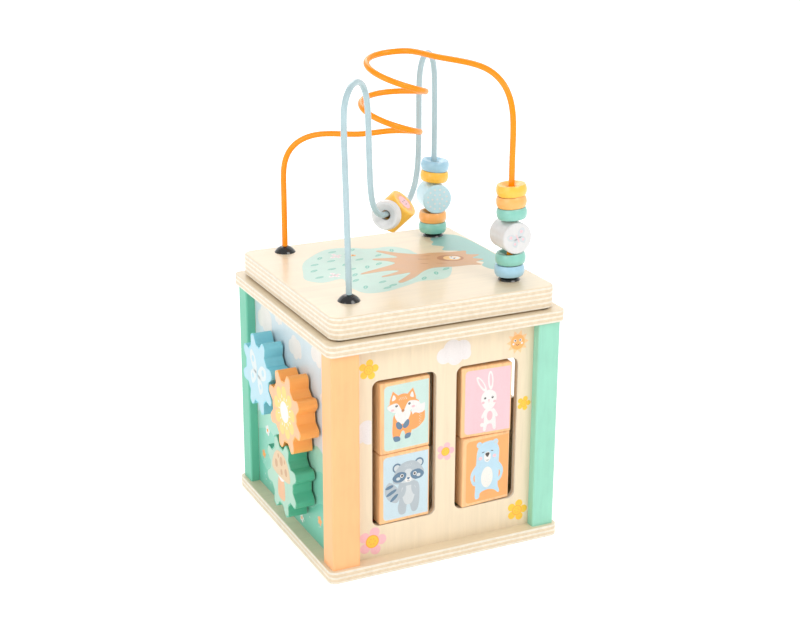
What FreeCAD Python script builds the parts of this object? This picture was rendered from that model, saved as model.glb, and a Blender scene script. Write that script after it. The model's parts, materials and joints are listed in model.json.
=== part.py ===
import FreeCAD, Part
import math
import os

# A wooden activity cube in millimetres: +Z up, -Y the picture windows, -X the gears, +X the sorting holes.
# The origin is the centre of the base board's underside.

V = FreeCAD.Vector
UP = V(0, 0, 1)
ALONG_X = V(1, 0, 0)
ALONG_Y = V(0, 1, 0)

# boards
BASE_SIDE = 150.0
BASE_THICK = 7.4
BOARD_CORNER = 4.5
BOARD_EDGE = 0.6
COLLAR_BOTTOM = 137.6
COLLAR_THICK = 7.0
MOUTH_SIDE = 101.0
MOUTH_CORNER = 4.0
LID_SIDE = 141.5
LID_CORNER = 7.0
LID_BOTTOM = 145.5
LID_THICK = 13.15
LID_TOP_EDGE = 1.4
LID_BOTTOM_EDGE = 0.8
LOCATOR_SIDE = 98.0
LOCATOR_THICK = 6.0
COLLAR_TOP = COLLAR_BOTTOM + COLLAR_THICK
LID_TOP = LID_BOTTOM + LID_THICK

# posts: size along X, size along Y
POST_OUT = 72.6
POST_EDGE = 1.2
POSTS = {
    "post_front_left": (-1, -1, 17.2, 14.3),
    "post_front_right": (1, -1, 14.3, 14.3),
    "post_back_left": (-1, 1, 14.0, 13.0),
    "post_back_right": (1, 1, 14.0, 13.0),
}

# panels
PANEL_OUT = 66.8
PANEL_THICK = 4.0
GROOVE_DEPTH = 3.0
GROOVE_CLEAR = 0.1
PANEL_IN = PANEL_OUT - PANEL_THICK

# windows and picture blocks
WINDOW_LOW = 27.0
WINDOW_HIGH = 117.0
WINDOW_WIDTH = 40.5
WINDOW_CORNER = 4.5
WINDOW_X = {"left": -25.1, "right": 28.1}
BLOCK_WIDTH = 32.5
BLOCK_THICK = 12.0
BLOCK_TALL = 43.5
BLOCK_LOW = 27.6
BLOCK_GAP = 0.3
BLOCK_EDGE = 0.9
BLOCK_AXIS_Y = -61.0
ROD_RADIUS = 1.6
RUNNING_CLEAR = 0.05
ROD_SOCKET = 4.0
BLOCKS = {
    "block_fox": ("left", 1, 4.0),
    "block_raccoon": ("left", 0, 2.0),
    "block_rabbit": ("right", 1, -3.0),
    "block_bear": ("right", 0, 4.0),
}

# gears: centre along Y, centre along Z, angle of one tooth from +Y towards +Z
TEETH = 8
GEAR_TIP = 24.8
GEAR_ROOT = 18.6
TOOTH_TIP_DEG = 3.2
TOOTH_ROOT_DEG = 7.0
GEAR_FRONT = -80.0
GEAR_THICK = 11.7
GEAR_POINTS = 128
AXLE_RADIUS = 4.0
AXLE_SOCKET = 8.0
WASHER_RADIUS = 7.0
WASHER_CLEAR = 0.3
WASHER_GAP = 0.15
RETAINER_RADIUS = 8.0
RETAINER_THICK = 4.0
RETAINER_GAP = 0.4
AXLE_TAIL = 0.8
GEARS = {
    "orange": (-20.4, 87.3, 16.5),
    "blue": (23.2, 95.5, -17.6),
    "green": (-13.1, 43.5, -20.0),
}

# sorting holes in the right panel (centre along Y, centre along Z), and where their loose blocks stand (X, Y)
HOLES = {
    "circle": (-29.0, 93.0),
    "square": (15.0, 93.0),
    "triangle": (-8.0, 41.0),
    "hexagon": (35.0, 41.0),
}
LOOSE_BLOCKS = {
    "circle": (8.0, 36.0),
    "square": (-32.0, 32.0),
    "triangle": (-30.0, -16.0),
    "hexagon": (40.0, -14.0),
}
CIRCLE_RADIUS = 17.0
SQUARE_SIDE = 31.0
TRIANGLE_SIDE = 40.0
HEXAGON_FLAT = 32.0
SHAPE_CLEAR = 1.5
SHAPE_TALL = 30.0
SHAPE_EDGE = 1.5
SHAPE_FLOOR_GAP = 0.05

# clock on the back panel
CLOCK_Z = 72.5
PIN_RADIUS = 2.5
PIN_HEAD_RADIUS = 5.0
PIN_HEAD_THICK = 2.6
HAND_THICK = 2.0
HAND_GAP = 0.35
HOUR_LENGTH = 26.0
MINUTE_LENGTH = 36.0
HAND_WIDTH = 8.0
HAND_TIP_WIDTH = 3.4
HUB_RADIUS = 7.0
HOUR_TURN = 60.0
MINUTE_TURN = -60.0
NUT_RADIUS = 7.0
NUT_THICK = 3.0

# joinery and hardware
FASTENER_X = 66.0
FASTENER_Y = 67.0
DOWEL_RADIUS = 3.0
DOWEL_LENGTH = 12.0
DOWEL_IN_COLLAR = 4.0
SCREW_RADIUS = 1.7
SCREW_LENGTH = 28.0
SCREW_HEAD_RADIUS = 3.6
SCREW_HEAD_TALL = 2.4
SCREW_RECESS = 0.3
SCREW_CLEAR = 0.05
LID_SCREW_OFFSET = 36.0
LID_SCREW_LENGTH = 13.0
PAD_RADIUS = 3.5
PAD_X = 64.0
PAD_Y = 65.5

# bead wires: feet on the lid's top face
WIRE_RADIUS = 1.75
WIRE_HOLE_CLEAR = 0.1
WIRE_SOCKET = 9.0
STRAIGHT_STEP = 9.0
CAP_RADIUS = 6.5
CAP_TALL = 4.0
FOOT_A = V(-46.6, 58.6, LID_TOP)
FOOT_B = V(-49.4, -44.8, LID_TOP)
FOOT_C = V(53.0, 53.2, LID_TOP)
FOOT_D = V(51.3, -48.2, LID_TOP)
HELIX_X = 1.0
HELIX_Y = 7.0
HELIX_RADIUS = 18.0
HELIX_FIRST_DEG = 64.2
HELIX_LOW = 77.6
HELIX_RISE = 23.75
HELIX_LEAN = math.tan(math.radians(7.8))
HELIX_UPRIGHT_TURN = 0.6
VIEW_RIGHT = V(0.90, -0.435, 0)
VIEW_REAR = V(0.435, 0.90, 0)
HELIX_START = 0.018
HELIX_END = 2.02
HELIX_STEPS = 48
ORANGE_STRAIGHT_A = 47.0
ORANGE_STRAIGHT_D = 90.0
BLUE_STRAIGHT_B = 6.0
BLUE_STRAIGHT_C = 84.0
VALLEY_START = (54.0, 35.8)
VALLEY_END = (84.0, 32.8)

# beads
RING_RADIUS = 8.9
RING_TALL = 6.5
RING_BORE = 3.0
RING_BARREL = 0.9
DISH_RADIUS = 6.6
DISH_DEPTH = 1.7
DRUM_RADIUS = 9.3
DRUM_LENGTH = 17.5
DRUM_EDGE = 1.0
BEAD_GAP = 0.3
STACK_START = 2.7
# each bead of a stack from the bottom up: how far it leans to the right (rings) or turns (drums),
# then its shift to the right
STACK_C = {
    "ring_c1_green": (0.0, -0.4),
    "ring_c2_orange": (0.0, -0.5),
    "drum_c3_dotted": (-11.0, 0.0),
    "ring_c4_yellow": (5.0, 0.3),
    "ring_c5_blue": (5.0, 0.6),
}
STACK_D = {
    "ring_d1_blue": (-2.0, 0.0),
    "ring_d2_green": (-4.0, 0.5),
    "drum_d3_butterfly": (0.0, 0.0),
    "ring_d4_green": (-4.5, 0.5),
    "ring_d5_orange": (-4.5, 0.1),
    "ring_d6_yellow": (-4.5, 0.0),
}
VALLEY_RING_AT = 58.5
VALLEY_DROP = 0.7
VALLEY_DRUM_TILT_DEG = 45.0

parts = {}


def box(x0, x1, y0, y1, z0, z1):
    return Part.makeBox(x1 - x0, y1 - y0, z1 - z0, V(x0, y0, z0))


def square_board(side, low, thick):
    return box(-side / 2, side / 2, -side / 2, side / 2, low, low + thick)


def centred_box(x, y, low, width, deep, tall):
    return box(x - width / 2, x + width / 2, y - deep / 2, y + deep / 2, low, low + tall)


def edges_along(shape, direction):
    found = []
    for edge in shape.Edges:
        if isinstance(edge.Curve, Part.Line) and abs(abs(edge.Curve.Direction.dot(direction)) - 1) < 1e-6:
            found.append(edge)
    return found


def round_along(shape, direction, radius):
    return shape.makeFillet(radius, edges_along(shape, direction))


def edges_in_plane(shape, direction, place):
    found = []
    for edge in shape.Edges:
        box_ = edge.BoundBox
        low = V(box_.XMin, box_.YMin, box_.ZMin).dot(direction)
        high = V(box_.XMax, box_.YMax, box_.ZMax).dot(direction)
        if abs(low - place) < 1e-4 and abs(high - place) < 1e-4:
            found.append(edge)
    return found


def soften(shape, direction, place, radius):
    return shape.makeFillet(radius, edges_in_plane(shape, direction, place))


def rod(radius, length, start, direction):
    return Part.makeCylinder(radius, length, start, direction)


def group(shapes):
    return Part.makeCompound(shapes)


def polygon_prism(points, direction, length):
    outline = Part.makePolygon(points + [points[0]])
    return Part.Face(outline).extrude(direction * length)


def corners():
    return [(sx, sy) for sx in (-1, 1) for sy in (-1, 1)]


def countersunk(at, direction, length):
    tip = rod(SCREW_RADIUS, length, at, direction)
    head = Part.makeCone(SCREW_HEAD_RADIUS, SCREW_RADIUS, SCREW_HEAD_TALL, at, direction)
    return tip.fuse(head).removeSplitter()


def countersink(at, direction, length):
    hole = rod(SCREW_RADIUS + SCREW_CLEAR, length + SCREW_CLEAR, at, direction)
    wide = SCREW_HEAD_RADIUS + SCREW_CLEAR
    narrow = SCREW_RADIUS + SCREW_CLEAR
    seat = Part.makeCone(wide, narrow, SCREW_HEAD_TALL + SCREW_CLEAR, at, direction)
    mouth = rod(wide, SCREW_RECESS + SCREW_CLEAR, at - direction * (SCREW_RECESS + SCREW_CLEAR), direction)
    return hole.fuse(seat).fuse(mouth)


# positions of the case's joinery
screw_starts = [V(sx * FASTENER_X, sy * FASTENER_Y, SCREW_RECESS) for sx, sy in corners()]
dowel_low = COLLAR_BOTTOM + DOWEL_IN_COLLAR - DOWEL_LENGTH
dowel_starts = [V(sx * FASTENER_X, sy * FASTENER_Y, dowel_low) for sx, sy in corners()]
base_screw_cuts = group([countersink(at, UP, SCREW_LENGTH) for at in screw_starts])
dowels = group([rod(DOWEL_RADIUS, DOWEL_LENGTH, at, UP) for at in dowel_starts])
rod_low = BASE_THICK - ROD_SOCKET
rod_length = COLLAR_BOTTOM + ROD_SOCKET - rod_low
window_rods = {}
for side, x in WINDOW_X.items():
    window_rods[side] = rod(ROD_RADIUS, rod_length, V(x, BLOCK_AXIS_Y, rod_low), UP)
rod_cuts = group(list(window_rods.values()))


def build_boards():
    base = round_along(square_board(BASE_SIDE, 0, BASE_THICK), UP, BOARD_CORNER)
    base = soften(soften(base, UP, 0, BOARD_EDGE), UP, BASE_THICK, BOARD_EDGE)
    parts["base_board"] = base.cut(base_screw_cuts).cut(rod_cuts)
    collar = round_along(square_board(BASE_SIDE, COLLAR_BOTTOM, COLLAR_THICK), UP, BOARD_CORNER)
    collar = soften(soften(collar, UP, COLLAR_BOTTOM, BOARD_EDGE), UP, COLLAR_TOP, BOARD_EDGE)
    mouth = round_along(square_board(MOUTH_SIDE, COLLAR_BOTTOM, COLLAR_THICK), UP, MOUTH_CORNER)
    parts["collar_frame"] = collar.cut(mouth).cut(dowels).cut(rod_cuts)
    parts["base_screws"] = group([countersunk(at, UP, SCREW_LENGTH) for at in screw_starts])
    parts["collar_dowels"] = dowels
    parts["window_rod_left"] = window_rods["left"]
    parts["window_rod_right"] = window_rods["right"]


def build_panels():
    left_in = -(POST_OUT - POSTS["post_front_left"][2])
    right_in = POST_OUT - POSTS["post_front_right"][2]
    front_in = -(POST_OUT - POSTS["post_front_left"][3])
    back_in = POST_OUT - POSTS["post_back_left"][3]
    back_x = POST_OUT - POSTS["post_back_left"][2]
    deep = GROOVE_DEPTH
    spans = {
        "front_panel": (left_in - deep, right_in + deep, -PANEL_OUT, -PANEL_IN),
        "gear_panel": (-PANEL_OUT, -PANEL_IN, front_in - deep, back_in + deep),
        "sorter_panel": (PANEL_IN, PANEL_OUT, front_in - deep, back_in + deep),
        "back_panel": (-back_x - deep, back_x + deep, PANEL_IN, PANEL_OUT),
    }
    panels = {name: box(*span, BASE_THICK, COLLAR_BOTTOM) for name, span in spans.items()}
    grooves = []
    for span in spans.values():
        wide = [edge + sign * GROOVE_CLEAR for edge, sign in zip(span, (-1, 1, -1, 1))]
        grooves.append(box(*wide, BASE_THICK, COLLAR_BOTTOM))
    grooves = group(grooves)
    for name, (sx, sy, size_x, size_y) in POSTS.items():
        xs = sorted([sx * POST_OUT, sx * (POST_OUT - size_x)])
        ys = sorted([sy * POST_OUT, sy * (POST_OUT - size_y)])
        post = round_along(box(*xs, *ys, BASE_THICK, COLLAR_BOTTOM), UP, POST_EDGE)
        parts[name] = post.cut(grooves).cut(base_screw_cuts).cut(dowels)
    middle = -(PANEL_OUT + PANEL_IN) / 2
    for x in WINDOW_X.values():
        hole = centred_box(x, middle, WINDOW_LOW, WINDOW_WIDTH, PANEL_THICK, WINDOW_HIGH - WINDOW_LOW)
        panels["front_panel"] = panels["front_panel"].cut(round_along(hole, ALONG_Y, WINDOW_CORNER))
    for y, z, _ in GEARS.values():
        hole = rod(AXLE_RADIUS + RUNNING_CLEAR, PANEL_THICK, V(-PANEL_OUT, y, z), ALONG_X)
        panels["gear_panel"] = panels["gear_panel"].cut(hole)
    for cut in sorting_cuts():
        panels["sorter_panel"] = panels["sorter_panel"].cut(cut)
    pin_hole = rod(PIN_RADIUS, PANEL_THICK, V(0, PANEL_IN, CLOCK_Z), ALONG_Y)
    panels["back_panel"] = panels["back_panel"].cut(pin_hole)
    parts.update(panels)


def regular(sides, radius, turn):
    steps = [turn + 2 * math.pi * k / sides for k in range(sides)]
    return [(radius * math.cos(a), radius * math.sin(a)) for a in steps]


def shape_outlines(clear):
    triangle = (TRIANGLE_SIDE - 2 * clear * math.sqrt(3)) / math.sqrt(3)
    square = (SQUARE_SIDE - 2 * clear) / math.sqrt(2)
    hexagon = (HEXAGON_FLAT - 2 * clear) / math.sqrt(3)
    return {
        "square": regular(4, square, math.pi / 4),
        "triangle": regular(3, triangle, math.pi / 2),
        "hexagon": regular(6, hexagon, 0),
    }


def sorting_cuts():
    y, z = HOLES["circle"]
    cuts = [rod(CIRCLE_RADIUS, PANEL_THICK, V(PANEL_IN, y, z), ALONG_X)]
    for name, outline in shape_outlines(0).items():
        y, z = HOLES[name]
        points = [V(PANEL_IN, y + a, z + b) for a, b in outline]
        cuts.append(polygon_prism(points, ALONG_X, PANEL_THICK))
    return cuts


def build_sorting_blocks():
    floor = BASE_THICK + SHAPE_FLOOR_GAP
    x, y = LOOSE_BLOCKS["circle"]
    blocks = {"cylinder_block": rod(CIRCLE_RADIUS - SHAPE_CLEAR, SHAPE_TALL, V(x, y, floor), UP)}
    for name, outline in shape_outlines(SHAPE_CLEAR).items():
        x, y = LOOSE_BLOCKS[name]
        points = [V(x + a, y + b, floor) for a, b in outline]
        prism = round_along(polygon_prism(points, UP, SHAPE_TALL), UP, SHAPE_EDGE)
        blocks[name + "_block"] = prism
    for name, shape in blocks.items():
        shape = soften(shape, UP, floor, SHAPE_EDGE)
        parts[name] = soften(shape, UP, floor + SHAPE_TALL, SHAPE_EDGE)


def build_picture_blocks():
    for name, (side, level, turn) in BLOCKS.items():
        low = BLOCK_LOW + level * (BLOCK_TALL + BLOCK_GAP)
        x = WINDOW_X[side]
        block = centred_box(x, BLOCK_AXIS_Y, low, BLOCK_WIDTH, BLOCK_THICK, BLOCK_TALL)
        block = block.makeFillet(BLOCK_EDGE, block.Edges)
        bore = rod(ROD_RADIUS + RUNNING_CLEAR, BLOCK_TALL, V(x, BLOCK_AXIS_Y, low), UP)
        block = block.cut(bore)
        block.rotate(V(x, BLOCK_AXIS_Y, 0), UP, turn)
        parts[name] = block


def gear_radius(angle):
    pitch = 360.0 / TEETH
    from_tip = abs((math.degrees(angle) + pitch / 2) % pitch - pitch / 2)
    flank = pitch / 2 - TOOTH_ROOT_DEG - TOOTH_TIP_DEG
    share = min(1.0, max(0.0, (from_tip - TOOTH_TIP_DEG) / flank))
    height = 0.5 + 0.5 * math.cos(math.pi * share)
    return GEAR_ROOT + (GEAR_TIP - GEAR_ROOT) * height


def build_gears():
    back = GEAR_FRONT + GEAR_THICK
    washers = []
    for colour, (y, z, phase) in GEARS.items():
        points = []
        for k in range(GEAR_POINTS):
            angle = 2 * math.pi * k / GEAR_POINTS
            radius = gear_radius(angle)
            turned = angle + math.radians(phase)
            points.append(V(GEAR_FRONT, y + radius * math.cos(turned), z + radius * math.sin(turned)))
        curve = Part.BSplineCurve()
        curve.interpolate(Points=points, PeriodicFlag=True)
        gear = Part.Face(Part.Wire(curve.toShape())).extrude(ALONG_X * GEAR_THICK)
        socket = rod(AXLE_RADIUS, AXLE_SOCKET, V(back - AXLE_SOCKET, y, z), ALONG_X)
        parts["gear_" + colour] = gear.cut(socket)
        retainer_low = -PANEL_IN + RETAINER_GAP
        axle_end = retainer_low + RETAINER_THICK + AXLE_TAIL
        axle_start = back - AXLE_SOCKET
        axle = rod(AXLE_RADIUS, axle_end - axle_start, V(axle_start, y, z), ALONG_X)
        parts["axle_" + colour] = axle
        retainer = rod(RETAINER_RADIUS, RETAINER_THICK, V(retainer_low, y, z), ALONG_X)
        parts["retainer_" + colour] = retainer.cut(axle)
        washer_thick = -PANEL_OUT - WASHER_GAP - back
        washer = rod(WASHER_RADIUS, washer_thick, V(back + WASHER_GAP, y, z), ALONG_X)
        hole = rod(AXLE_RADIUS + WASHER_CLEAR, washer_thick, V(back + WASHER_GAP, y, z), ALONG_X)
        washers.append(washer.cut(hole))
    parts["gear_washers"] = group(washers)


def clock_hand(length, y, turn):
    half = HAND_WIDTH / 2
    tip = HAND_TIP_WIDTH / 2
    end_z = CLOCK_Z + length
    outline = [V(-half, y, CLOCK_Z), V(-tip, y, end_z), V(tip, y, end_z), V(half, y, CLOCK_Z)]
    blade = polygon_prism(outline, ALONG_Y, HAND_THICK)
    hub = rod(HUB_RADIUS, HAND_THICK, V(0, y, CLOCK_Z), ALONG_Y)
    bore = rod(PIN_RADIUS + RUNNING_CLEAR, HAND_THICK, V(0, y, CLOCK_Z), ALONG_Y)
    hand = blade.fuse(hub).removeSplitter().cut(bore)
    hand.rotate(V(0, y, CLOCK_Z), ALONG_Y, turn)
    return hand


def build_clock():
    hour_y = PANEL_OUT + HAND_GAP
    minute_y = hour_y + HAND_THICK + HAND_GAP
    head_y = minute_y + HAND_THICK + HAND_GAP
    parts["hour_hand"] = clock_hand(HOUR_LENGTH, hour_y, HOUR_TURN)
    parts["minute_hand"] = clock_hand(MINUTE_LENGTH, minute_y, MINUTE_TURN)
    nut_y = PANEL_IN - NUT_THICK
    shaft = rod(PIN_RADIUS, head_y - nut_y, V(0, nut_y, CLOCK_Z), ALONG_Y)
    head = rod(PIN_HEAD_RADIUS, PIN_HEAD_THICK, V(0, head_y, CLOCK_Z), ALONG_Y)
    head = soften(head, ALONG_Y, head_y + PIN_HEAD_THICK, PIN_HEAD_THICK / 2)
    parts["clock_pin"] = shaft.fuse(head)
    nut = rod(NUT_RADIUS, NUT_THICK, V(0, nut_y, CLOCK_Z), ALONG_Y)
    parts["clock_pin_nut"] = nut.cut(shaft)


def build_lid():
    lid = round_along(square_board(LID_SIDE, LID_BOTTOM, LID_THICK), UP, LID_CORNER)
    lid = soften(lid, UP, LID_TOP, LID_TOP_EDGE)
    lid = soften(lid, UP, LID_BOTTOM, LID_BOTTOM_EDGE)
    for foot in (FOOT_A, FOOT_B, FOOT_C, FOOT_D):
        socket = rod(WIRE_RADIUS + WIRE_HOLE_CLEAR, WIRE_SOCKET, foot - UP * WIRE_SOCKET, UP)
        lid = lid.cut(socket)
    locator = square_board(LOCATOR_SIDE, LID_BOTTOM - LOCATOR_THICK, LOCATOR_THICK)
    locator = round_along(locator, UP, MOUTH_CORNER)
    low = LID_BOTTOM - LOCATOR_THICK + SCREW_RECESS
    starts = [V(sx * LID_SCREW_OFFSET, sy * LID_SCREW_OFFSET, low) for sx, sy in corners()]
    cuts = group([countersink(at, UP, LID_SCREW_LENGTH) for at in starts])
    parts["lid_board"] = lid.cut(cuts)
    parts["lid_locator"] = locator.cut(cuts)
    parts["lid_screws"] = group([countersunk(at, UP, LID_SCREW_LENGTH) for at in starts])
    pad_tall = LID_BOTTOM - COLLAR_TOP
    pads = [rod(PAD_RADIUS, pad_tall, V(sx * PAD_X, sy * PAD_Y, COLLAR_TOP), UP) for sx, sy in corners()]
    parts["lid_pads"] = group(pads)
    caps = []
    for foot in (FOOT_A, FOOT_B, FOOT_C, FOOT_D):
        ball_radius = (CAP_RADIUS ** 2 + CAP_TALL ** 2) / (2 * CAP_TALL)
        ball = Part.makeSphere(ball_radius, foot + UP * (CAP_TALL - ball_radius))
        dome = ball.common(rod(ball_radius, CAP_TALL, foot, UP))
        caps.append(dome.cut(rod(WIRE_RADIUS + WIRE_HOLE_CLEAR, CAP_TALL, foot, UP)))
    parts["wire_caps"] = group(caps)


def toward(start, end):
    step = V(end.x - start.x, end.y - start.y, 0)
    return step.normalize()


def on_line(start, direction, distance, height):
    return V(start.x, start.y, LID_TOP) + direction * distance + UP * height


def straight(start, end):
    count = max(1, round((end - start).Length / STRAIGHT_STEP))
    return [start + (end - start) * (k / count) for k in range(count + 1)]


def swept_circle(edge, plane_normal):
    start = edge.FirstParameter
    circle = Part.Wire(Part.makeCircle(WIRE_RADIUS, edge.valueAt(start), edge.tangentAt(start)))
    sweep = Part.BRepOffsetAPI.MakePipeShell(Part.Wire(edge))
    if plane_normal:
        sweep.setBiNormalMode(plane_normal)
    else:
        sweep.setFrenetMode(False)
    sweep.add(circle)
    sweep.build()
    sweep.makeSolid()
    return sweep.shape()


def tube(points, stretches):
    """A smooth wire swept stretch by stretch; each stretch is (end point, plane normal or None)."""
    curve = Part.BSplineCurve()
    curve.interpolate(Points=points)
    start = curve.FirstParameter
    solids = []
    for end_point, plane_normal in stretches:
        end = curve.parameter(end_point)
        solids.append(swept_circle(curve.toShape(start, end), plane_normal))
        start = end
    return solids[0].fuse(solids[1:]) if len(solids) > 1 else solids[0]


def line(start, end):
    return Part.LineSegment(start, end).toShape()


def helix_point(turns):
    angle = math.radians(HELIX_FIRST_DEG - 360 * turns)
    offset = V(HELIX_RADIUS * math.cos(angle), HELIX_RADIUS * math.sin(angle), 0)
    height = HELIX_LOW + HELIX_RISE * turns - HELIX_LEAN * offset.dot(VIEW_RIGHT)
    shift = VIEW_RIGHT * (HELIX_LEAN * HELIX_RISE * (turns - HELIX_UPRIGHT_TURN))
    return V(HELIX_X, HELIX_Y, LID_TOP + height) + offset + shift


def build_orange_wire():
    enter = helix_point(HELIX_START)
    leave = helix_point(HELIX_END)
    from_a = toward(FOOT_A, enter)
    from_d = toward(FOOT_D, leave)
    rise = [(0.9, 56.0), (5.0, 65.0), (13.0, 71.4), (23.2, 74.4), (34.5, 74.9), (46.0, 75.1), (57.0, 76.5)]
    fall = [(56.0, 124.6), (44.3, 124.0), (31.0, 123.3), (19.5, 121.3), (9.0, 115.5), (3.0, 107.0), (0.6, 98.0)]
    low = on_line(FOOT_A, from_a, 0, ORANGE_STRAIGHT_A)
    high = on_line(FOOT_D, from_d, 0, ORANGE_STRAIGHT_D)
    turns = [HELIX_START + (HELIX_END - HELIX_START) * k / HELIX_STEPS for k in range(HELIX_STEPS + 1)]
    points = straight(FOOT_A - UP * WIRE_SOCKET, low)
    points += [on_line(FOOT_A, from_a, s, h) for s, h in rise]
    points += [helix_point(turn) for turn in turns]
    points += [on_line(FOOT_D, from_d, s, h) for s, h in fall]
    points += straight(high, FOOT_D - UP * WIRE_SOCKET)
    parts["wire_orange"] = tube(points, [(points[-1], None)])


def build_blue_wire():
    along = toward(FOOT_B, FOOT_C)
    span = (FOOT_C - FOOT_B).Length
    first = [(-0.6, 20), (-1.4, 34), (-2.3, 48), (-3.2, 62), (-4.2, 76), (-5.1, 90), (-5.6, 101)]
    first += [(-4.2, 111), (2.6, 118.4), (12.0, 120.6), (19.6, 118.7), (25.2, 113.4), (28.8, 104.4)]
    first += [(30.2, 92.5), (30.9, 80.5), (31.8, 68.5), (33.2, 57.0), (36.4, 47.4), (43.6, 39.9)]
    last = [(92.5, 33.2), (101.0, 36.8), (107.6, 43.4), (111.3, 52.4), (112.7, 63), (113.0, 75), (112.8, 87)]
    last += [(112.8, 98.0), (113.9, 108.0), (118.7, 115.9), (127.5, 118.7), (135.8, 114.2), (140.0, 105.6)]
    last += [(141.3, 95.0)]
    low = on_line(FOOT_B, along, 0, BLUE_STRAIGHT_B)
    high = on_line(FOOT_B, along, span, BLUE_STRAIGHT_C)
    points = straight(FOOT_B - UP * WIRE_SOCKET, low)
    points += [on_line(FOOT_B, along, s, h) for s, h in first]
    points += straight(on_line(FOOT_B, along, *VALLEY_START), on_line(FOOT_B, along, *VALLEY_END))
    points += [on_line(FOOT_B, along, s, h) for s, h in last]
    points += straight(high, FOOT_C - UP * WIRE_SOCKET)
    plane = along.cross(UP)
    valley = on_line(FOOT_B, along, *VALLEY_START)
    parts["wire_blue"] = tube(points, [(low, plane), (valley, plane), (high, plane), (points[-1], plane)])


def ring_bead():
    half = RING_TALL / 2
    waist = RING_RADIUS - RING_BARREL
    points = [V(RING_BORE, 0, -half + DISH_DEPTH), V(DISH_RADIUS, 0, -half), V(waist, 0, -half)]
    outline = [line(points[0], points[1]), line(points[1], points[2])]
    top = [V(p.x, 0, -p.z) for p in points]
    barrel = Part.Arc(points[2], V(RING_RADIUS, 0, 0), top[2])
    outline += [barrel.toShape(), line(top[2], top[1]), line(top[1], top[0]), line(top[0], points[0])]
    return Part.Face(Part.Wire(outline)).revolve(V(0, 0, 0), UP, 360)


def drum_bead():
    drum = rod(DRUM_RADIUS, DRUM_LENGTH, V(0, -DRUM_LENGTH / 2, 0), ALONG_Y)
    drum = soften(drum, ALONG_Y, -DRUM_LENGTH / 2, DRUM_EDGE)
    drum = soften(drum, ALONG_Y, DRUM_LENGTH / 2, DRUM_EDGE)
    return drum.cut(rod(RING_BORE, 2 * DRUM_RADIUS, V(0, 0, -DRUM_RADIUS), UP))


def build_stack(beads, foot):
    height = STACK_START
    lean_below = 0.0
    for name, (angle, shift) in beads.items():
        is_ring = name.startswith("ring")
        bead = ring_bead() if is_ring else drum_bead()
        bead.rotate(V(0, 0, 0), VIEW_REAR if is_ring else UP, angle)
        tall = RING_TALL if is_ring else 2 * DRUM_RADIUS
        lean = math.sin(math.radians(angle)) if is_ring else 0.0
        height += RING_RADIUS * abs(lean - lean_below)
        bead.translate(foot + UP * (height + tall / 2) + VIEW_RIGHT * shift)
        parts[name] = bead
        height += tall + BEAD_GAP
        lean_below = lean


def build_valley_beads():
    along = toward(FOOT_B, FOOT_C)
    start = on_line(FOOT_B, along, *VALLEY_START)
    end = on_line(FOOT_B, along, *VALLEY_END)
    direction = (end - start).normalize()
    side = direction.cross(UP).normalize()
    over = side.cross(direction)
    ring_at = start + direction * (VALLEY_RING_AT - VALLEY_START[0]) - over * VALLEY_DROP
    drum_at = ring_at + direction * (RING_TALL / 2 + BEAD_GAP + DRUM_RADIUS)
    tilt = math.radians(VALLEY_DRUM_TILT_DEG)
    face = side * math.cos(tilt) + over * math.sin(tilt)
    for name, bead, at in (("ring_v1_white", ring_bead(), ring_at), ("drum_v2_yellow", drum_bead(), drum_at)):
        third = face * -1
        across = third.cross(direction)
        turn = FreeCAD.Matrix()
        turn.A11, turn.A21, turn.A31 = across.x, across.y, across.z
        turn.A12, turn.A22, turn.A32 = third.x, third.y, third.z
        turn.A13, turn.A23, turn.A33 = direction.x, direction.y, direction.z
        bead.Placement = FreeCAD.Placement(turn)
        bead.translate(at)
        parts[name] = bead


build_boards()
build_panels()
build_sorting_blocks()
build_picture_blocks()
build_gears()
build_clock()
build_lid()
build_orange_wire()
build_blue_wire()
build_stack(STACK_C, FOOT_C)
build_stack(STACK_D, FOOT_D)
build_valley_beads()

os.makedirs("parts", exist_ok=True)
for node, shape in parts.items():
    shape.exportStep("parts/" + node + ".step")
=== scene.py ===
import json
import math
import random

import bmesh
import bpy
from mathutils import Matrix, Vector


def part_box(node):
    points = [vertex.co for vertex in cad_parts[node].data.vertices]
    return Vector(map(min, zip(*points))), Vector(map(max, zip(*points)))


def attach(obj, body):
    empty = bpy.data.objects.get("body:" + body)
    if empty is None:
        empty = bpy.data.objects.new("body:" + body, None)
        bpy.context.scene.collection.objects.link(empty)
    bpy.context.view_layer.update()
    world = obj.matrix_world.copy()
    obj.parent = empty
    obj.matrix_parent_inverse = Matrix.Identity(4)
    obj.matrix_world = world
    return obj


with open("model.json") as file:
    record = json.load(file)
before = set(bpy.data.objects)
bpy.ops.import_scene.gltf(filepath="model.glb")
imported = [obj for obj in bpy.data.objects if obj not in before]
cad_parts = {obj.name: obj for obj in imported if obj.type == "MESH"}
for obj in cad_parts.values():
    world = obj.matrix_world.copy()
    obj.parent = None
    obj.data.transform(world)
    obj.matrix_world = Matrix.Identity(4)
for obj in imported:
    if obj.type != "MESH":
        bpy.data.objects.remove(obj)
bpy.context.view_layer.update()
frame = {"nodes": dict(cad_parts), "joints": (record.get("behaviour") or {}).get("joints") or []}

MM = 0.001
NODES = frame["nodes"]
JOINTS = {joint["name"]: joint for joint in frame["joints"]}
SEED = 7

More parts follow.
